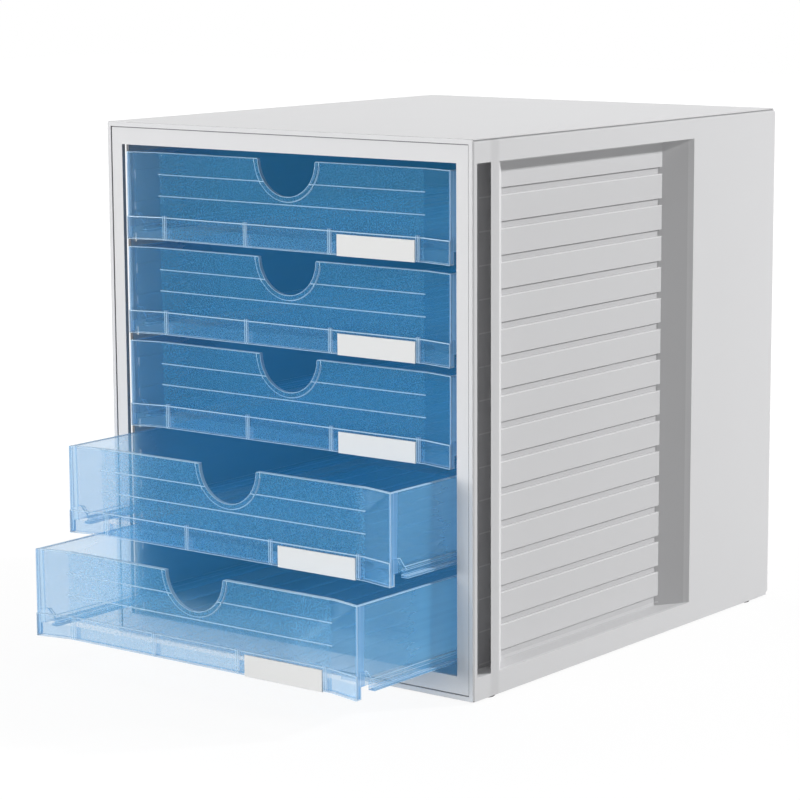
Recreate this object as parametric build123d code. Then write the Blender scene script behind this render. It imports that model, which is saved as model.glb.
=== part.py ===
from build123d import *
import math
import os

# Desktop drawer organizer: a grey box with five blue see-through drawers.
# Millimetres. X runs across, Y runs back from the drawer fronts and Z is up.
# The origin lies on the table, at the centre of the box's footprint.

# Box, with its feet
box_width = 275.0
box_depth = 330.0
box_height = 320.0
foot_height = 1.2
shell_wall = 2.2
joint_gap = 0.15          # between parts that slip into each other
overshoot = 1.0           # how far a cut runs past the face it opens

# Front frame
lip_width = 2.8           # flat outer lip, flush with the shell
lip_depth = 1.0
lip_round = 0.5
lip_corner = 1.3
groove_width = 0.6        # shadow groove inside the lip
groove_depth = 1.2
field_setback = 0.5       # the flat field behind the lip's front
frame_wall = 2.6          # from the lip's front to the back of the field
bar_height = 13.5         # frame above and below the drawers
return_width = 2.0        # stiffening edge round the opening
return_depth = 3.2
plug_depth = 4.0          # rim that slips into the shell
plug_wall = 1.8
frame_clear = 0.2         # the opening beyond the runner panels' outer face

# Top, sides and back
rim_thickness = 0.6       # thin edge of the top over the side panels
rim_inset = 0.3
side_bevel = 1.2          # makes the crease under that edge
cap_depth = 4.0           # the back cap's rim
back_wall = 2.5
back_round = 3.0
cap_corner = 3.2
back_plug_depth = 5.0

# Slot and recess in each side, from the front of the box
slot_front = 4.2
slot_back = 17.3
recess_front = 25.2
recess_back = 230.3
recess_slope = 1.55       # how far the end walls run back for each mm inwards

# Runner panels, the ribbed inner walls
runner_wall = 1.8
band_step = 1.5           # raised bands over the strips between them
strip_height = 4.2
rail_reach = 1.6          # inner rails that carry the drawers
rail_cover = 0.5          # rail above and below the strip outside it
rail_setback = 8.0        # rails behind the front of the box
rails_per_drawer = 3

# Drawers
drawer_count = 5
drawers_open = {4: 55.7, 5: 85.8}   # drawer number, counted from the top, and how far
drawer_travel = 235.0
end_gap = 4.2             # above the top drawer and below the lowest
drawer_gap = 4.6
side_room = 15.3          # from the outside of the box to the end of a front
tip_setback = 0.3         # the front's ends behind the lip's front
back_room = 0.5           # behind a closed drawer

# Drawer front
front_wall = 2.4
front_recess = 5.0        # how far the ends reach forward of the middle
facet_width = 22.2        # each bent end, across
edge_round = 0.4
bead_proud = 0.8
bead_height = 2.2
bead_levels = (39.6, 26.7)
bead_cover = 0.6          # a bead's end inside the bent end it runs into
rim_height = 3.0          # bead along the top edge and round the grip
grip_radius = 21.6
grip_corner = 1.0

# Drawer tray
side_wall = 2.2
side_draft = 0.8          # a side leans out from foot to top
side_step = 0.1           # a side's top edge within the front's end
tray_floor = 2.0
floor_level = 8.4         # underside of the tray's floor
floor_bead_pitch = 20.0
floor_bead_width = 2.0
floor_bead_height = 0.5
floor_bead_count = 11
back_wall_tray = 2.2
foot_low = 2.9            # underside of the foot flanges
foot_start = 13.4         # feet and ledges behind the front's ends
flange_wall = 1.5
flange_reach = 1.4        # beyond the end of the front
flange_clear = 0.4        # to the runner panel
run_clear = 0.2           # flange above its rail
ledge_top = 9.5
ledge_reach = 0.4
gusset_top = 15.2
gusset_end = 8.5
gusset_foot = 15.0

# Pull-out stop: a lug on each flange meets a block on the runner panel
block_front = 18.0
block_depth = 4.0
block_low = 7.6
block_high = 12.0
block_reach = 1.3
lug_depth = 6.0
lug_top = 10.0
stop_clear = 0.3

# Label strip and label plate
strip_wall = 0.8
strip_clear = 0.2
strip_inset = 0.2         # the strip's end within the front's end
strip_front_top = 14.0
strip_back_top = 7.0
strip_bottom = 0.9
divider_count = 4         # pairs, the outer ones this far from the strip's ends
divider_inset = 26.0
divider_width = 0.7
divider_slit = 0.9
divider_proud = 0.5
divider_top = 15.0
label_height = 12.6
label_thickness = 0.9
label_low = -0.3
label_gap = 0.3           # to the divider on its right
label_room = 4.9          # to the divider on its left
label_round = 0.3

# Feet
foot_radius = 6.0
foot_from_side = 7.0
foot_from_front = 21.0
foot_from_back = 25.0

# Places worked out from the sizes above
half_width = box_width / 2
front_y = -box_depth / 2
back_y = box_depth / 2
base_z = foot_height
panel_front = front_y + lip_depth
panel_back = back_y - cap_depth
skin_inner = half_width - shell_wall
plug_half = skin_inner - joint_gap
plug_z = (base_z + shell_wall + joint_gap, box_height - shell_wall - joint_gap)
opening_bottom = base_z + bar_height
opening_top = box_height - bar_height
drawer_pitch = (opening_top - opening_bottom - 2 * end_gap + drawer_gap) / drawer_count
front_height = drawer_pitch - drawer_gap
rail_pitch = drawer_pitch / rails_per_drawer
front_half = half_width - side_room
flat_half = front_half - facet_width
flange_outer = front_half + flange_reach
runner_inner = flange_outer + flange_clear
band_face = runner_inner + runner_wall
strip_face = band_face - band_step
rail_face = runner_inner - rail_reach
opening_half = band_face + frame_clear
runner_front = front_y + plug_depth + joint_gap
runner_back = back_y - back_wall - joint_gap
rail_top = foot_low - run_clear
strip_top = rail_top - rail_cover
drawer_length = box_depth - back_wall - back_room - tip_setback
wall_top_x = front_half - side_step
wall_foot_x = wall_top_x - side_draft
wall_low = strip_back_top + strip_clear
strip_half = front_half - strip_inset
divider_pitch = 2 * (strip_half - divider_inset) / (divider_count - 1)
divider_places = [divider_inset - strip_half + number * divider_pitch for number in range(divider_count)]
label_width = divider_pitch - divider_slit - 2 * divider_width - label_gap - label_room
lug_start = block_front + block_depth + drawer_travel + stop_clear - tip_setback


def block(x, y, z):
    """A box between the low and high values of x, y and z."""
    size = Box(x[1] - x[0], y[1] - y[0], z[1] - z[0])
    return Pos((x[0] + x[1]) / 2, (y[0] + y[1]) / 2, (z[0] + z[1]) / 2) * size


def along_x(points, x):
    """A prism along X from its outline of y and z values."""
    outline = Plane.YZ.offset(x[0]) * Polygon(*points, align=None)
    return extrude(outline, x[1] - x[0], dir=(1, 0, 0))


def along_y(points, y):
    """A prism along Y from its outline of x and z values."""
    outline = Plane.XZ.offset(-y[0]) * Polygon(*points, align=None)
    return extrude(outline, y[1] - y[0], dir=(0, 1, 0))


def along_z(points, z):
    """A prism along Z from its outline of x and y values."""
    outline = Plane.XY.offset(z[0]) * Polygon(*points, align=None)
    return extrude(outline, z[1] - z[0], dir=(0, 0, 1))


def ring(half, z, width, y):
    """A rectangular ring facing the front, with an outer half-width and z range."""
    outer = block((-half, half), y, z)
    inner = block((width - half, half - width), y, (z[0] + width, z[1] - width))
    return outer - inner


def both_sides(shape):
    """The shape on the right and its mirror on the left."""
    return shape + mirror(shape, about=Plane.YZ)


def make_front_frame():
    """Outer lip, shadow groove, flat field, return round the opening and plug rim."""
    field_front = front_y + field_setback
    lip = block((-half_width, half_width), (front_y, panel_front), (base_z, box_height))
    lip = fillet(lip.edges().filter_by(Axis.Y), lip_corner)
    lip = fillet(lip.faces().sort_by(Axis.Y)[0].edges(), lip_round)
    plate = block((-plug_half, plug_half), (front_y, front_y + frame_wall), plug_z)
    plug = ring(plug_half, plug_z, plug_wall, (front_y, front_y + plug_depth))
    groove_z = (base_z + lip_width, box_height - lip_width)
    groove = ring(half_width - lip_width, groove_z, groove_width, (front_y, front_y + groove_depth))
    inset = lip_width + groove_width
    field_cut = block(
        (inset - half_width, half_width - inset),
        (front_y, field_front),
        (base_z + inset, box_height - inset),
    )
    frame = lip + plate + plug - groove - field_cut
    stiff_z = (opening_bottom - return_width, opening_top + return_width)
    stiff_y = (field_front, front_y + return_depth)
    frame += block((-opening_half - return_width, opening_half + return_width), stiff_y, stiff_z)
    frame -= block((-opening_half, opening_half), (front_y, back_y), (opening_bottom, opening_top))
    return frame


def make_top_panel():
    """Flat top between the side panels, with a thin edge that reaches over them."""
    y = (panel_front, panel_back)
    panel = block((-plug_half, plug_half), y, (box_height - shell_wall, box_height))
    rim_half = half_width - rim_inset
    return panel + block((-rim_half, rim_half), y, (box_height - rim_thickness, box_height))


def make_base_panel():
    """Flat bottom between the side panels."""
    return block((-plug_half, plug_half), (panel_front, panel_back), (base_z, base_z + shell_wall))


def make_rear_panel():
    """Dished back cap with rounded edges and a rim that slips into the shell."""
    cap = block((-half_width, half_width), (panel_back, back_y), (base_z, box_height))
    cap = fillet(cap.edges().filter_by(Axis.Y), cap_corner)
    cap = fillet(cap.faces().sort_by(Axis.Y)[-1].edges(), back_round)
    cap += ring(plug_half, plug_z, plug_wall, (panel_back - back_plug_depth, panel_back))
    pocket_half = plug_half - plug_wall
    pocket_z = (plug_z[0] + plug_wall, plug_z[1] - plug_wall)
    return cap - block((-pocket_half, pocket_half), (panel_back, back_y - back_wall), pocket_z)


def run_back(x):
    """How far a sloping wall of the slot or recess has run at that distance from the middle."""
    return recess_slope * (half_width - x)


def recess_outline(floor_x, outer_x, grow=0.0):
    """Plan of the side recess down to floor_x, its sloping ends moved out by grow."""
    front = front_y + recess_front - grow
    back = front_y + recess_back + grow
    return [
        (outer_x, front + run_back(outer_x)),
        (floor_x, front + run_back(floor_x)),
        (floor_x, back - run_back(floor_x)),
        (outer_x, back - run_back(outer_x)),
    ]


def slot_outline():
    """Plan of the side slot, its rear wall sloping like the front end of the recess."""
    outside = half_width + overshoot
    inside = skin_inner - overshoot
    return [
        (outside, front_y + slot_front),
        (inside, front_y + slot_front),
        (inside, front_y + slot_back + run_back(inside)),
        (outside, front_y + slot_back + run_back(outside)),
    ]


def make_side_panel():
    """Right-hand skin with a bevelled top edge, the slot and the recess window."""
    top = box_height - rim_thickness - joint_gap
    outline = [
        (skin_inner, base_z),
        (half_width, base_z),
        (half_width, top - side_bevel),
        (half_width - side_bevel, top),
        (skin_inner, top),
    ]
    panel = along_y(outline, (panel_front, panel_back))
    opening_z = (opening_bottom, opening_top)
    panel -= along_z(slot_outline(), opening_z)
    return panel - along_z(recess_outline(band_face, half_width + overshoot), opening_z)


def make_runner_panel():
    """Right-hand ribbed wall with rails inside and the recess's floor outside."""
    y = (runner_front, runner_back)
    opening_z = (opening_bottom, opening_top)
    full_z = (opening_bottom - runner_wall, opening_top + runner_wall)
    web = runner_wall * math.hypot(1, recess_slope)
    ledge_y = (runner_front, panel_back - back_plug_depth - joint_gap)
    panel = block((runner_inner, band_face), y, full_z)
    panel += along_z(recess_outline(runner_inner, skin_inner, web), full_z)
    panel += block((runner_inner, skin_inner), ledge_y, (full_z[0], opening_bottom))
    panel += block((runner_inner, skin_inner), ledge_y, (opening_top, full_z[1]))
    panel -= along_z(recess_outline(band_face, skin_inner + overshoot), opening_z)
    rail_y = (front_y + rail_setback, runner_back)
    for number in range(drawer_count * rails_per_drawer):
        top = opening_bottom + end_gap + strip_top + number * rail_pitch
        low = top - strip_height if number else opening_bottom
        panel -= along_z(recess_outline(strip_face, band_face + overshoot), (low, top))
        rail_z = (top - strip_height - rail_cover, top + rail_cover)
        panel += block((rail_face, strip_face), rail_y, (min(low, rail_z[0]), rail_z[1]))
    stop_y = (front_y + block_front, front_y + block_front + block_depth)
    for number in range(drawer_count):
        floor = opening_bottom + end_gap + number * drawer_pitch
        stop_z = (floor + block_low, floor + block_high)
        panel += block((runner_inner - block_reach, runner_inner), stop_y, stop_z)
    return panel


def front_face(x, behind):
    """Y at x of a line that runs that far behind the drawer's front face."""
    lean = math.atan(front_recess / facet_width)
    bend = flat_half + behind * math.tan(lean / 2)
    y = front_recess + behind
    if abs(x) > bend:
        y -= (abs(x) - bend) * math.tan(lean)
    return y


def front_band(half, behind, z):
    """A wall that follows the bent front, between two distances behind its face."""
    lean = math.atan(front_recess / facet_width)
    points = []
    for depth, order in ((behind[0], 1), (behind[1], -1)):
        bend = flat_half + depth * math.tan(lean / 2)
        line = [(x, front_face(x, depth)) for x in (-half, -bend, bend, half)]
        points += line[::order]
    return along_z(points, z)


def grip_disc(radius, y):
    """Upright round plug at the grip's centre, on the front's top edge."""
    outline = Pos(0, y[0], front_height) * (Plane.XZ * Circle(radius))
    return extrude(outline, y[1] - y[0], dir=(0, 1, 0))


def make_drawer_front():
    """Bent front wall with its beads and the round grip cut into its top edge."""
    wall = front_band(front_half, (0, front_wall), (strip_bottom, front_height))
    wall = fillet(wall.faces().sort_by(Axis.Z)[-1].edges(), edge_round)
    bead_half = flat_half + bead_proud * facet_width / front_recess + bead_cover
    bead_y = (front_recess - bead_proud, front_recess + front_wall / 2)
    slant = bead_proud / 2
    for level in (*bead_levels, front_height):
        tall = rim_height if level == front_height else bead_height
        outline = [
            (bead_y[1], level - tall),
            (front_recess, level - tall),
            (bead_y[0], level - tall + slant),
            (bead_y[0], level - slant),
            (bead_y[0] + slant, level),
            (bead_y[1], level),
        ]
        wall += along_x(outline, (-bead_half, bead_half))
    rim = grip_disc(grip_radius + rim_height, bead_y)
    above = block((-half_width, half_width), (-box_depth, box_depth), (front_height, box_height))
    wall += rim - above
    wall -= grip_disc(grip_radius, (-front_wall, front_recess + 2 * front_wall))

    def at_mouth(edge):
        offset = abs(abs(edge.center().X) - grip_radius) + abs(edge.center().Z - front_height)
        return offset < 0.01

    return fillet(wall.edges().filter_by(Axis.Y).filter_by(at_mouth), grip_corner)


def make_tray_side():
    """Right-hand tray wall with foot flange, ledge, front gusset and stop lug."""
    start = front_face(front_half, front_wall / 2)
    lean = side_draft * edge_round / front_height
    outline = [
        (wall_foot_x - side_wall, wall_low),
        (wall_foot_x, wall_low),
        (wall_top_x - lean, front_height - edge_round),
        (wall_top_x - edge_round, front_height),
        (wall_top_x - side_wall + edge_round, front_height),
        (wall_top_x - side_wall - lean, front_height - edge_round),
    ]
    side = along_y(outline, (start, drawer_length))
    middle = wall_foot_x - side_wall / 2
    foot_y = (foot_start, drawer_length)
    side += block((wall_foot_x - side_wall, wall_foot_x), foot_y, (foot_low, ledge_top))
    side += block((middle, flange_outer), foot_y, (foot_low, foot_low + flange_wall))
    side += block((middle, wall_foot_x + ledge_reach), foot_y, (wall_low, ledge_top))
    gusset = [
        (start, wall_low),
        (gusset_foot, wall_low),
        (gusset_end, gusset_top),
        (start, gusset_top),
    ]
    side += along_x(gusset, (middle, wall_top_x))
    lug_y = (lug_start, lug_start + lug_depth)
    return side + block((middle, flange_outer), lug_y, (foot_low, lug_top))


def make_drawer():
    """A tray, closed, with its front's lower edge at z = 0 and its tips at y = 0."""
    floor_half = wall_foot_x - side_wall / 2
    floor_y = (front_recess + front_wall / 2, drawer_length - back_wall_tray / 2)
    tray = make_drawer_front() + both_sides(make_tray_side())
    tray += block((-floor_half, floor_half), floor_y, (floor_level, floor_level + tray_floor))
    for number in range(floor_bead_count):
        x = (number - (floor_bead_count - 1) / 2) * floor_bead_pitch
        bead_x = (x - floor_bead_width / 2, x + floor_bead_width / 2)
        bead_z = (floor_level, floor_level + tray_floor + floor_bead_height)
        tray += block(bead_x, floor_y, bead_z)
    back_y_range = (drawer_length - back_wall_tray, drawer_length)
    return tray + block((-floor_half, floor_half), back_y_range, (foot_low, front_height - edge_round))


def make_label_rail():
    """Clear U-shaped strip over the front's lower edge, with three label bays."""
    outer = (-strip_clear - strip_wall, front_wall + strip_clear + strip_wall)
    rail = front_band(strip_half, outer, (0, strip_bottom - strip_clear / 2))
    rail += front_band(strip_half, (outer[0], -strip_clear), (0, strip_front_top))
    rail += front_band(strip_half, (outer[1] - strip_wall, outer[1]), (0, strip_back_top))
    face = front_recess + outer[0]
    for place in divider_places:
        for side in (-1, 1):
            middle = place + side * (divider_slit + divider_width) / 2
            x = (middle - divider_width / 2, middle + divider_width / 2)
            rail += block(x, (face - divider_proud, face + strip_wall), (strip_bottom, divider_top))
    return rail


def make_label_plate():
    """Blank plate in front of the right-hand bay, beside its right divider."""
    face = front_recess - strip_clear - strip_wall
    right = divider_places[-1] - divider_slit / 2 - divider_width - label_gap
    plate = block(
        (right - label_width, right),
        (face - label_thickness, face),
        (label_low, label_low + label_height),
    )
    return fillet(plate.faces().sort_by(Axis.Y)[0].edges(), label_round)


def make_foot():
    """Thin round rubber pad, slightly tapered towards the table."""
    pad = Pos(0, 0, foot_height / 2) * Cylinder(foot_radius, foot_height)
    return chamfer(pad.faces().sort_by(Axis.Z)[0].edges(), foot_height / 4)


def make_pieces():
    """Every piece in its place, by name."""
    side = make_side_panel()
    runner = make_runner_panel()
    pieces = {
        "top_panel": make_top_panel(),
        "base_panel": make_base_panel(),
        "rear_panel": make_rear_panel(),
        "front_frame": make_front_frame(),
        "side_panel_right": side,
        "side_panel_left": mirror(side, about=Plane.YZ),
        "runner_panel_right": runner,
        "runner_panel_left": mirror(runner, about=Plane.YZ),
    }
    foot = make_foot()
    for row, y in (("front", front_y + foot_from_front), ("back", back_y - foot_from_back)):
        for side_name, sign in (("left", -1), ("right", 1)):
            place = Pos(sign * (half_width - foot_from_side), y, 0)
            pieces[f"foot_{row}_{side_name}"] = place * foot
    tray = make_drawer()
    rail = make_label_rail()
    plate = make_label_plate()
    for number in range(1, drawer_count + 1):
        level = opening_bottom + end_gap + (drawer_count - number) * drawer_pitch
        place = Pos(0, front_y + tip_setback - drawers_open.get(number, 0.0), level)
        pieces[f"drawer_{number}"] = place * tray
        pieces[f"label_rail_{number}"] = place * rail
        pieces[f"label_plate_{number}"] = place * plate
    return pieces


os.makedirs("parts", exist_ok=True)
for name, piece in make_pieces().items():
    export_step(piece, f"parts/{name}.step")
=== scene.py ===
import math

import bmesh
import bpy
from mathutils import Matrix, Vector


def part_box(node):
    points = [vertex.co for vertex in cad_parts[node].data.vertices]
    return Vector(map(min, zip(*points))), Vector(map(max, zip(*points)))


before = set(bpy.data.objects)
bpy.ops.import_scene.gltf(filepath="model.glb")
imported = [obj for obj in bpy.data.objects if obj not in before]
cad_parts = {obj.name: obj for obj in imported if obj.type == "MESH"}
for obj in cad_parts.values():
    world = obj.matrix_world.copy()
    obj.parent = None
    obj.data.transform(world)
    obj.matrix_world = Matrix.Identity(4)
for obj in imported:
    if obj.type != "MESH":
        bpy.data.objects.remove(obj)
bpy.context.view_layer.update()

millimetre = 0.001


# Housing shell: top, base, sides, back cap, front bezel and the ribbed runner walls are all
# injection-moulded from one light grey polystyrene with a fine spark-eroded grain. The panels
# slip into each other, and the bezel closes the front with a shadow groove inside its lip.
# Shade is painted into the grey: in that groove, along the joints between parts, on the front
# post, between the ribs, and as a darker grey for the ribbed runner walls. The ribs' top edges
# get a painted highlight.
shell_grey = (0.76, 0.76, 0.77)
# Painted shade: the runner walls get a darker copy of the shell grey, for their place sunk in the
# side recess.
runner_shaded_grey = (0.69, 0.69, 0.70)
# Painted shade: the dark grey blended into grooves, joints, creases and strips where shade falls.
painted_shade_dark = (0.16, 0.16, 0.17)
# Painted highlight: the light grey blended onto the ribs' top edges.
painted_highlight_grey = (0.90, 0.90, 0.91)
shell_roughness = 0.42
shell_grain_roughness = 0.12
grain_size = 0.45 * millimetre
grain_depth = 0.05 * millimetre
flow_mark_size = 60 * millimetre
half_width = 137.5 * millimetre
half_depth = 165.0 * millimetre
mid_height = 160.6 * millimetre
half_height = 159.4 * millimetre
groove_depth = 0.55 * millimetre
joint_depth = 0.7 * millimetre
joint_inset = 0.3 * millimetre
groove_inset = 3.1 * millimetre
line_reach = 0.6 * millimetre
opening_half = 126.0 * millimetre
bezel_flat = 5.0 * millimetre
side_top = 319.25 * millimetre
post_middle = 21.0 * millimetre
post_reach = 6.0 * millimetre
rib_pitch = 19.2 * millimetre
rib_height = 15.0 * millimetre
first_rib = 21.1 * millimetre
rib_start = 22.0 * millimetre
strip_face = 124.3 * millimetre
strip_slack = 0.3 * millimetre
rib_face = 125.8 * millimetre
runner_end = 4.6 * millimetre


class Flow:
    """A number, colour or vector on its way through a finish's nodes."""

    def __init__(self, finish, socket):
        self.finish = finish
        self.socket = socket

    def _math(self, operation, *terms):
        return self.finish.node("ShaderNodeMath", {"operation": operation}, *terms)

    def __add__(self, other):
        return self._math("ADD", self, other)

    def __sub__(self, other):
        return self._math("SUBTRACT", self, other)

    def __rsub__(self, other):
        return self._math("SUBTRACT", other, self)

    def __mul__(self, other):
        return self._math("MULTIPLY", self, other)

    def __mod__(self, other):
        return self._math("MODULO", self, other)

    def __gt__(self, other):
        return self._math("GREATER_THAN", self, other)

    def __lt__(self, other):
        return self._math("LESS_THAN", self, other)

    __radd__ = __add__
    __rmul__ = __mul__

    def size(self):
        return self._math("ABSOLUTE", self)

    def larger(self, other):
        return self._math("MAXIMUM", self, other)

    def smaller(self, other):
        return self._math("MINIMUM", self, other)

    def soft_step(self, start, end):
        """0 below start, 1 above end, smooth between them."""
        settings = {"interpolation_type": "SMOOTHSTEP"}
        return self.finish.node("ShaderNodeMapRange", settings, self, start, end, 0.0, 1.0)

    def near(self, value, reach):
        """1 at that value, fading to 0 at reach on both sides."""
        return (self - value).size().soft_step(reach, 0.3 * reach)


class Finish:
    """A material under way, with its shader and the places its patterns read."""

    def __init__(self, name, colour, roughness, specular=0.5):
        self.material = bpy.data.materials.new(name)
        self.material.use_nodes = True
        self.tree = self.material.node_tree
        self.shader = self.tree.nodes["Principled BSDF"]
        self.shader.inputs["Base Color"].default_value = (*colour, 1.0)
        self.shader.inputs["Roughness"].default_value = roughness
        self.shader.inputs["Specular IOR Level"].default_value = specular
        self.place = self.node("ShaderNodeTexCoord", {}, output="Object")
        self.surface = self.shader.outputs[0]

    def node(self, kind, settings, *values, output=0, **named):
        """Adds a node, sets it, then feeds its sockets in order or by name."""
        node = self.tree.nodes.new(kind)
        for key, value in settings.items():
            setattr(node, key, value)
        pairs = [(node.inputs[index], value) for index, value in enumerate(values)]
        pairs += [(node.inputs[key.replace("_", " ")], value) for key, value in named.items()]
        for socket, value in pairs:
            if isinstance(value, Flow):
                self.tree.links.new(value.socket, socket)
            else:
                socket.default_value = value
        return Flow(self, node.outputs[output])

    def axis(self, letter):
        return self.node("ShaderNodeSeparateXYZ", {}, self.place, output=letter)

    def noise(self, size, detail=2.0, stretch=(1.0, 1.0, 1.0)):
        """Soft noise between 0 and 1 with features of that size in metres."""
        scaled = self.node("ShaderNodeMapping", {}, self.place, Scale=Vector(stretch))
        return self.node("ShaderNodeTexNoise", {}, Vector=scaled, Scale=1.0 / size, Detail=detail)

    def blend(self, factor, first, second):
        """A colour between two, by a factor."""
        node = self.tree.nodes.new("ShaderNodeMix")
        node.data_type = "RGBA"
        for index, value in ((0, factor), (6, first), (7, second)):
            if isinstance(value, Flow):
                self.tree.links.new(value.socket, node.inputs[index])
            else:
                node.inputs[index].default_value = (*value, 1.0)
        return Flow(self, node.outputs[2])

    def feed(self, socket_name, flow):
        self.tree.links.new(flow.socket, self.shader.inputs[socket_name])

    def mix(self, factor, below, above):
        """Shows the shader above over the one below, as far as factor says."""
        mix = self.tree.nodes.new("ShaderNodeMixShader")
        if isinstance(factor, Flow):
            self.tree.links.new(factor.socket, mix.inputs[0])
        else:
            mix.inputs[0].default_value = factor
        self.tree.links.new(below, mix.inputs[1])
        self.tree.links.new(above, mix.inputs[2])
        self.surface = mix.outputs[0]
        self.tree.links.new(self.surface, self.tree.nodes["Material Output"].inputs[0])

    def bump(self, height, strength, distance):
        """Raises the surface by height, over that distance in metres."""
        normal = self.node(
            "ShaderNodeBump", {}, Strength=strength, Distance=distance, Height=height
        )
        self.feed("Normal", normal)


def polystyrene(name, colour, shade=None, sheen=None):
    """Grained matt polystyrene with faint flow marks, with painted shade and painted highlights
    where told.
    """
    finish = Finish(name, colour, shell_roughness, specular=0.35)
    grain = finish.noise(grain_size, detail=3.0)
    flow_marks = finish.noise(flow_mark_size)
    darker = tuple(0.965 * channel for channel in colour)
    tone = finish.blend(flow_marks * 0.6 + grain * 0.4, darker, colour)
    # Painted shade, then painted highlights, go over the grained tone where the part's masks say.
    if shade:
        tone = finish.blend(shade(finish), tone, painted_shade_dark)
    if sheen:
        tone = finish.blend(sheen(finish), tone, painted_highlight_grey)
    finish.feed("Base Color", tone)
    finish.feed("Roughness", shell_roughness + shell_grain_roughness * grain)
    finish.bump(grain, 0.25, grain_depth)
    return finish.material


def bezel_shade(finish):
    """Painted shade in the groove inside the bezel's lip, in the joint behind the lip, and on the
    inner edge.
    """
    outward = finish.axis("X").size()
    depth = finish.axis("Y") + half_depth
    in_from_end = half_height - (finish.axis("Z") - mid_height).size()
    inset = (half_width - outward).smaller(in_from_end)
    groove_shade = inset.near(groove_inset, line_reach) * (depth > groove_depth)
    joint_shade = (depth > joint_depth) * (inset < joint_inset)
    inner_shade = outward.near(opening_half, line_reach) * (depth > line_reach) * (inset > bezel_flat)
    return groove_shade * 0.9 + joint_shade * 0.6 + inner_shade * 0.6


def side_shade(finish):
    """Painted shade in the joints where a side meets the bezel and the top's edge, and on the
    front post.
    """
    depth = finish.axis("Y") + half_depth
    front = depth.soft_step(1.7 * millimetre, 1.2 * millimetre)
    top = finish.axis("Z").soft_step(side_top - 1.0 * millimetre, side_top - 0.4 * millimetre)
    return front * 0.5 + top * 0.45 + depth.near(post_middle, post_reach) * 0.12


def rib_phase(finish):
    """How far above the last strip a point of the ribbed field is."""
    return (finish.axis("Z") + (rib_pitch - first_rib)) % rib_pitch


def runner_shade(finish):
    """Painted shade: the strips between the ribs darker, darkest right under the next rib, and
    the runner's front end in the gap.
    """
    outward = finish.axis("X").size()
    on_strip = (outward > strip_face - strip_slack) * (outward < strip_face + line_reach)
    phase = rib_phase(finish)
    under_rib_shadow = 0.14 + 0.5 * phase.near(rib_pitch, 0.7 * millimetre)
    front_end = finish.axis("Y") + half_depth < runner_end
    return (on_strip * (phase > rib_height) * under_rib_shadow).larger(front_end * 0.8)


def runner_sheen(finish):
    """Painted highlight along each rib's top edge."""
    outward = finish.axis("X").size()
    on_rib = (outward > strip_face + strip_slack) * (outward < rib_face + 0.2 * millimetre)
    on_rib = on_rib * (finish.axis("Y") > rib_start - half_depth)
    return on_rib * rib_phase(finish).near(rib_height - 0.1 * millimetre, line_reach) * 0.8


def dress(node_name, material):
    """Gives a moulded part its finish."""
    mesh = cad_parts[node_name].data
    mesh.materials.clear()
    mesh.materials.append(material)


grey_shell = polystyrene("grey_polystyrene", shell_grey)
for panel in ("top_panel", "base_panel", "rear_panel"):
    dress(panel, grey_shell)
dress("front_frame", polystyrene("grey_bezel", shell_grey, bezel_shade))
grey_side = polystyrene("grey_side", shell_grey, side_shade)
for panel in ("side_panel_left", "side_panel_right"):
    dress(panel, grey_side)
grey_runner = polystyrene("grey_runner", runner_shaded_grey, runner_shade, runner_sheen)
for panel in ("runner_panel_left", "runner_panel_right"):
    dress(panel, grey_runner)


# Feet: four thin black rubber pads, glued under the base near its corners.
# The rubber is matt, with a slightly mottled skin.
rubber_black = (0.017, 0.017, 0.018)
rubber_worn = (0.027, 0.027, 0.028)
mottle_size = 0.8 * millimetre
mottle_depth = 0.1 * millimetre

rubber = Finish("black_rubber", rubber_black, 0.75, specular=0.3)
mottle = rubber.noise(mottle_size)
rubber.feed("Base Color", rubber.blend(mottle, rubber_black, rubber_worn))
rubber.feed("Roughness", 0.65 + 0.2 * mottle)
rubber.bump(mottle, 0.3, mottle_depth)
for row in ("front", "back"):
    for side in ("left", "right"):
        dress(f"foot_{row}_{side}", rubber.material)


# Drawers: five trays moulded from see-through blue polystyrene. The flat middle of each front
# is grained between its beads, and the bent ends, the sides and the floor are polished.
# Pale edges are painted highlights for the light caught inside the walls, and a faint blue
# emission deep in each tray is painted light for its dim inside.
tray_blue = (0.08, 0.47, 0.80)
tray_grain = (0.13, 0.55, 0.87)
tray_dense = (0.03, 0.25, 0.60)
tray_glow = (0.50, 0.77, 0.97)
# Painted light: the emission colour deep in the trays.
painted_deep_glow = (0.016, 0.080, 0.105)
tray_clear = (0.975, 0.983, 0.993)
# Painted highlight: the pale tone laid along lit edges of the plastic.
painted_edge_glow = (0.55, 0.76, 0.94)
tray_roughness = 0.08
front_roughness = 0.28
milky_share = 0.5
tray_haze = 0.20
grain_haze = 0.11
foot_haze = 0.08
end_haze = 0.5
facet_haze = -0.03
side_haze = 0.12
deep_haze = 0.2
deep_start = 20 * millimetre
deep_end = 110 * millimetre
front_depth = 6.6 * millimetre
front_foot = 0.9 * millimetre
foot_height = 8.0 * millimetre
front_top = 53.0 * millimetre
grained_half = 100 * millimetre
speckle_size = 0.85 * millimetre
speckle_depth = 0.12 * millimetre
streak_size = 2.5 * millimetre
tray_side = 119.0 * millimetre
front_end = 120.5 * millimetre
bead_tops = (39.6 * millimetre, 26.7 * millimetre)
bead_half = 101 * millimetre
grip_edges = (21.6 * millimetre, 24.6 * millimetre)
flange_start = 13.4 * millimetre
flange_edges = (9.4 * millimetre, 7.2 * millimetre, 4.4 * millimetre, 2.9 * millimetre)
gusset_top = 15.2 * millimetre
gusset_foot = 7.2 * millimetre
gusset_depth = 8.5 * millimetre
gusset_slope = (0.776, 0.631)
edge_line = 0.38 * millimetre


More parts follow.
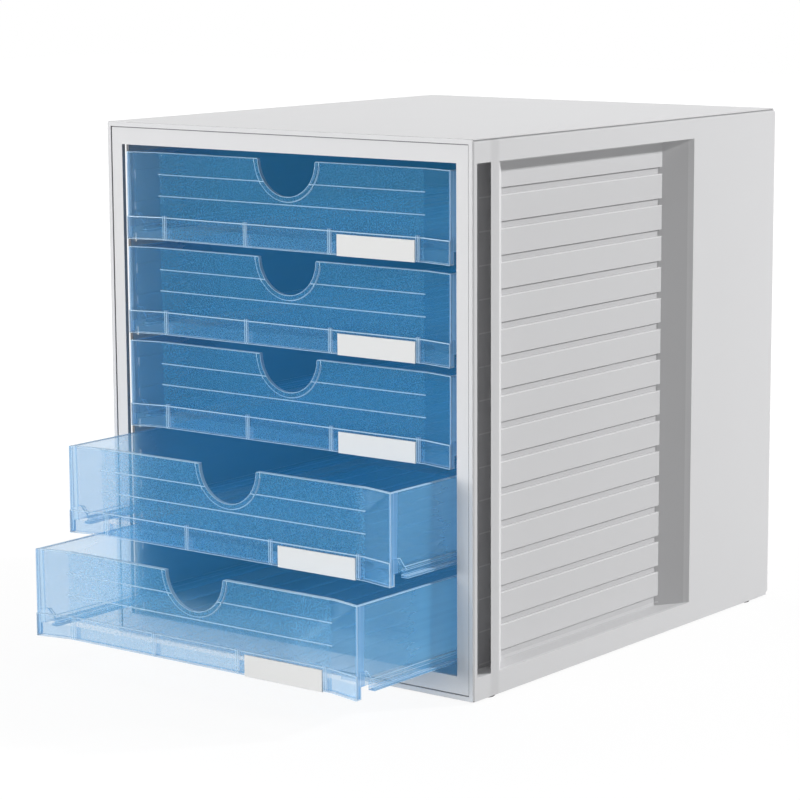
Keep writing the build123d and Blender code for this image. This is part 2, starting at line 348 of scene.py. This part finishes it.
def see_through(finish, tint, haze):
    """Lets light through with a tint, except for the share that haze keeps."""
    clear = finish.tree.nodes.new("ShaderNodeBsdfTransparent")
    clear.inputs["Color"].default_value = (*tint, 1.0)
    finish.mix(haze, clear.outputs[0], finish.surface)


def paint_edge_highlights(finish, roughness, factor):
    """Lays a painted highlight in the pale edge tone over the surface, as far as factor says."""
    pale = finish.tree.nodes.new("ShaderNodeBsdfPrincipled")
    pale.inputs["Base Color"].default_value = (*painted_edge_glow, 1.0)
    pale.inputs["Roughness"].default_value = roughness
    finish.mix(factor, finish.surface, pale.outputs[0])


def edge_lines(height, edges):
    """Painted highlight lines at these heights."""
    return sum(height.near(edge, edge_line) for edge in edges)


def front_lines(finish, across, height, depth, front_zone):
    """Painted highlights on a front: its beads, grip rim, upper edge and ends."""
    beads = edge_lines(height, bead_tops) * (across.size() < bead_half)
    corner = finish.node("ShaderNodeCombineXYZ", {}, across, height - front_top, 0.0)
    radius = finish.node("ShaderNodeVectorMath", {"operation": "LENGTH"}, corner, output="Value")
    top = height.soft_step(front_top - 0.6 * millimetre, front_top - 0.3 * millimetre)
    ends = depth.near(0.3 * millimetre, 0.5 * millimetre)
    ends = ends + depth.near(2.7 * millimetre, 0.4 * millimetre)
    ends = ends * (across.size() > front_end + 0.9 * millimetre) * 0.7
    lines = (beads * front_zone).larger(edge_lines(radius, grip_edges) * front_zone)
    return lines.larger(top).larger(ends)


def flange_lines(across, height, depth, front_zone):
    """Painted highlights behind a front: the flanges' edges and the sloping gusset."""
    flanges = edge_lines(height, flange_edges) * (depth > flange_start)
    run, rise = gusset_slope
    slope = (depth - gusset_depth) * run + (height - gusset_top) * rise
    gusset = slope.near(0.0, edge_line) * (height > gusset_foot) * (height < gusset_top)
    ledge = height.near(gusset_top - 0.1 * millimetre, edge_line) * (depth < gusset_depth)
    gusset = (gusset + ledge) * (1.0 - front_zone) * (across.size() > tray_side)
    return (flanges * (across.size() > tray_side - 0.5 * millimetre)).larger(gusset)


def tray_plastic(number):
    """See-through blue plastic with painted edge highlights and a painted glow deep inside,
    grained on the middle of this drawer's front.
    """
    low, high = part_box(f"drawer_{number}")
    finish = Finish(f"blue_polystyrene_{number}", tray_blue, 0.12)
    across, back, up = (finish.axis(letter) for letter in "XYZ")
    height = up - (low[2] - front_foot)
    depth = back - low[1]
    front_zone = depth < front_depth
    grained = front_zone * (across.size() < grained_half)
    speckle = finish.noise(speckle_size, detail=1.0).soft_step(0.36, 0.64)
    streak = finish.noise(streak_size, stretch=(1.0, 0.02, 1.0))
    ends = across.size().soft_step(front_end, front_end + 0.6 * millimetre) * front_zone
    deep = depth.soft_step(deep_start, deep_end)

    blue = finish.blend(speckle * grained, tray_blue, tray_grain)
    finish.feed("Base Color", finish.blend(ends, blue, tray_dense))
    finish.feed("Roughness", tray_roughness + front_roughness * front_zone)
    # Painted light: a faint emission deep in the tray stands in for the light inside the closed
    # housing.
    finish.feed("Emission Color", finish.blend(deep, (0.0, 0.0, 0.0), painted_deep_glow))
    finish.shader.inputs["Emission Strength"].default_value = 1.0
    finish.bump(speckle * grained, 0.2, speckle_depth)

    # A share of the light that falls on a wall glows through to its other side.
    milky = finish.tree.nodes.new("ShaderNodeBsdfTranslucent")
    milky.inputs["Color"].default_value = (*tray_glow, 1.0)
    finish.mix(milky_share, finish.surface, milky.outputs[0])

    sides = across.size().soft_step(tray_side, tray_side + 2 * millimetre) * (1.0 - front_zone)
    haze = tray_haze + grain_haze * grained * (0.15 + 1.5 * speckle)
    haze = haze + front_zone * (height < foot_height) * foot_haze + ends * end_haze
    haze = haze + front_zone * (1.0 - grained) * facet_haze
    haze = haze + sides * (side_haze * (0.5 + streak)) + deep_haze * deep
    see_through(finish, tray_clear, haze)

    # Painted highlights along the front's and flanges' edges.
    lines = front_lines(finish, across, height, depth, front_zone)
    lines = lines.larger(flange_lines(across, height, depth, front_zone))
    paint_edge_highlights(finish, 0.3, lines * 0.75)
    return finish.material


drawer_count = sum(name.startswith("drawer_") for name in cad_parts)
for number in range(1, drawer_count + 1):
    dress(f"drawer_{number}", tray_plastic(number))


# Label strips: clear glossy U-shaped extrusions, one clipped over each front's lower edge.
# Dividers part each strip into bays. The dividers and the cut edges get painted highlights.
strip_tint = (0.35, 0.64, 0.90)
strip_clear = (0.97, 0.985, 0.995)
strip_haze = 0.03
strip_top = 14.0 * millimetre
strip_half = 122.0 * millimetre
half_bay = 32 * millimetre
divider_edge = 0.8 * millimetre
strip_mark_size = 4 * millimetre


def strip_plastic(number):
    """Nearly colourless plastic with painted highlights on its edges and dividers."""
    low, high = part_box(f"label_rail_{number}")
    finish = Finish(f"clear_strip_{number}", strip_tint, 0.06)
    flow_marks = finish.noise(strip_mark_size, stretch=(0.1, 1.0, 1.0))
    finish.feed("Roughness", 0.04 + 0.08 * flow_marks)
    see_through(finish, strip_clear, strip_haze)
    across, height = finish.axis("X"), finish.axis("Z") - low[2]
    settings = {"operation": "PINGPONG"}
    from_divider = finish.node("ShaderNodeMath", settings, across + half_bay, half_bay)
    edges = height.near(strip_top - 0.2 * millimetre, 0.5 * millimetre)
    edges = edges + height.near(0.2 * millimetre, 0.4 * millimetre) * 0.6
    edges = edges + from_divider.near(divider_edge, 0.4 * millimetre) * 0.7
    edges = edges + across.size().near(strip_half, 0.5 * millimetre) * 0.7
    paint_edge_highlights(finish, 0.2, edges.smaller(0.8))
    return finish.material


for number in range(1, drawer_count + 1):
    dress(f"label_rail_{number}", strip_plastic(number))


# Label plates: white card under a smooth film, one in the right-hand bay of each strip.
# They are left blank.
label_white = (0.82, 0.82, 0.81)
label_fibre = (0.79, 0.79, 0.78)
fibre_size = 0.5 * millimetre
fibre_depth = 0.03 * millimetre

card = Finish("label_card", label_white, 0.55, specular=0.3)
fibre = card.noise(fibre_size, detail=4.0)
card.feed("Base Color", card.blend(fibre, label_fibre, label_white))
card.bump(fibre, 0.1, fibre_depth)
for number in range(1, drawer_count + 1):
    dress(f"label_plate_{number}", card.material)


# Studio floor: wide, pale and matt. It shows white to the camera and in gloss and clear
# plastic, and it keeps the object's soft shadow near the object.
floor_half = 6.0
floor_grey = (0.5, 0.5, 0.5)
floor_white = 1.1
shadow_share = 0.84
shadow_fade = (0.25, 0.9)

plate = bmesh.new()
bmesh.ops.create_grid(plate, x_segments=1, y_segments=1, size=floor_half)
floor_mesh = bpy.data.meshes.new("floor")
plate.to_mesh(floor_mesh)
plate.free()
floor = bpy.data.objects.new("floor", floor_mesh)
bpy.context.scene.collection.objects.link(floor)

pale = Finish("pale_floor", floor_grey, 0.9, specular=0.1)
white = pale.tree.nodes.new("ShaderNodeEmission")
white.inputs["Color"].default_value = (1.0, 1.0, 1.0, 1.0)
white.inputs["Strength"].default_value = floor_white
seen = sum(
    pale.node("ShaderNodeLightPath", {}, output=f"Is {kind} Ray")
    for kind in ("Camera", "Glossy", "Transmission")
)
radius = pale.node("ShaderNodeVectorMath", {"operation": "LENGTH"}, pale.place, output="Value")
far = radius.soft_step(*shadow_fade)
pale.mix(seen * (shadow_share + (1.0 - shadow_share) * far), pale.surface, white.outputs[0])
floor_mesh.materials.append(pale.material)


# Studio light: five soft square lamps and a weak even world. The world shows white to the
# camera and in gloss and clear plastic, past the floor's edge.
world_light = 0.10

world = bpy.data.worlds.new("studio")
world.use_nodes = True
bpy.context.scene.world = world
tree = world.node_tree
even = tree.nodes["Background"]
even.inputs["Color"].default_value = (1.0, 1.0, 1.0, 1.0)
even.inputs["Strength"].default_value = world_light
backdrop = tree.nodes.new("ShaderNodeBackground")
backdrop.inputs["Color"].default_value = (1.0, 1.0, 1.0, 1.0)
path = tree.nodes.new("ShaderNodeLightPath")
direct = tree.nodes.new("ShaderNodeMath")
direct.operation = "ADD"
tree.links.new(path.outputs["Is Camera Ray"], direct.inputs[0])
tree.links.new(path.outputs["Is Transmission Ray"], direct.inputs[1])
shown = tree.nodes.new("ShaderNodeMath")
shown.operation = "ADD"
shown.use_clamp = True
tree.links.new(direct.outputs[0], shown.inputs[0])
tree.links.new(path.outputs["Is Glossy Ray"], shown.inputs[1])
choice = tree.nodes.new("ShaderNodeMixShader")
tree.links.new(shown.outputs[0], choice.inputs[0])
tree.links.new(even.outputs[0], choice.inputs[1])
tree.links.new(backdrop.outputs[0], choice.inputs[2])
tree.links.new(choice.outputs[0], tree.nodes["World Output"].inputs[0])


def add_lamp(name, place, target, size, power, mirrored=True):
    """A soft square lamp aimed at a point, which glossy surfaces mirror or not."""
    data = bpy.data.lights.new(name, "AREA")
    data.size = size
    data.energy = power
    lamp = bpy.data.objects.new(name, data)
    lamp.visible_glossy = mirrored
    turn = (Vector(target) - Vector(place)).to_track_quat("-Z", "Y").to_matrix().to_4x4()
    lamp.matrix_world = Matrix.Translation(place) @ turn
    bpy.context.scene.collection.objects.link(lamp)


add_lamp("front_lamp", (-0.8, -3.9, 0.5), (0.0, -0.1, 0.15), 1.2, 102.0)
add_lamp("left_lamp", (-2.3, -1.3, 0.6), (0.0, -0.1, 0.15), 1.0, 10.0)
add_lamp("back_right_lamp", (3.11, 3.46, 2.18), (0.13, 0.0, 0.15), 0.37, 235.0, mirrored=False)
add_lamp("back_left_lamp", (-2.4, 0.9, 0.55), (-0.13, -0.2, 0.1), 0.9, 34.0)
add_lamp("top_lamp", (0.0, -0.1, 2.4), (0.0, 0.0, 0.2), 1.4, 13.5)


# Camera: stands where the photograph was taken from, level but for a slight roll.
# Its azimuth counts from straight in front towards the object's right side.
camera_place = Vector((1.0416, -1.39961, 0.43245))
camera_azimuth = math.radians(37.7311)
camera_elevation = math.radians(9.534)
camera_roll = math.radians(-0.3031)
camera_lens = 125.455
camera_reach = 20.0
clear_layers = 32

camera_back = Vector((
    math.sin(camera_azimuth) * math.cos(camera_elevation),
    -math.cos(camera_azimuth) * math.cos(camera_elevation),
    math.sin(camera_elevation),
))
camera_right = Vector((math.cos(camera_azimuth), math.sin(camera_azimuth), 0.0))
camera_up = camera_back.cross(camera_right)
camera_turn = Matrix((camera_right, camera_up, camera_back)).transposed().to_4x4()
camera_data = bpy.data.cameras.new("camera")
camera_data.lens = camera_lens
camera_data.clip_end = camera_reach
camera = bpy.data.objects.new("camera", camera_data)
roll = Matrix.Rotation(camera_roll, 4, "Z")
camera.matrix_world = Matrix.Translation(camera_place) @ camera_turn @ roll
bpy.context.scene.collection.objects.link(camera)
bpy.context.scene.camera = camera
bpy.context.scene.view_settings.view_transform = "Standard"
bpy.context.scene.cycles.transparent_max_bounces = clear_layers
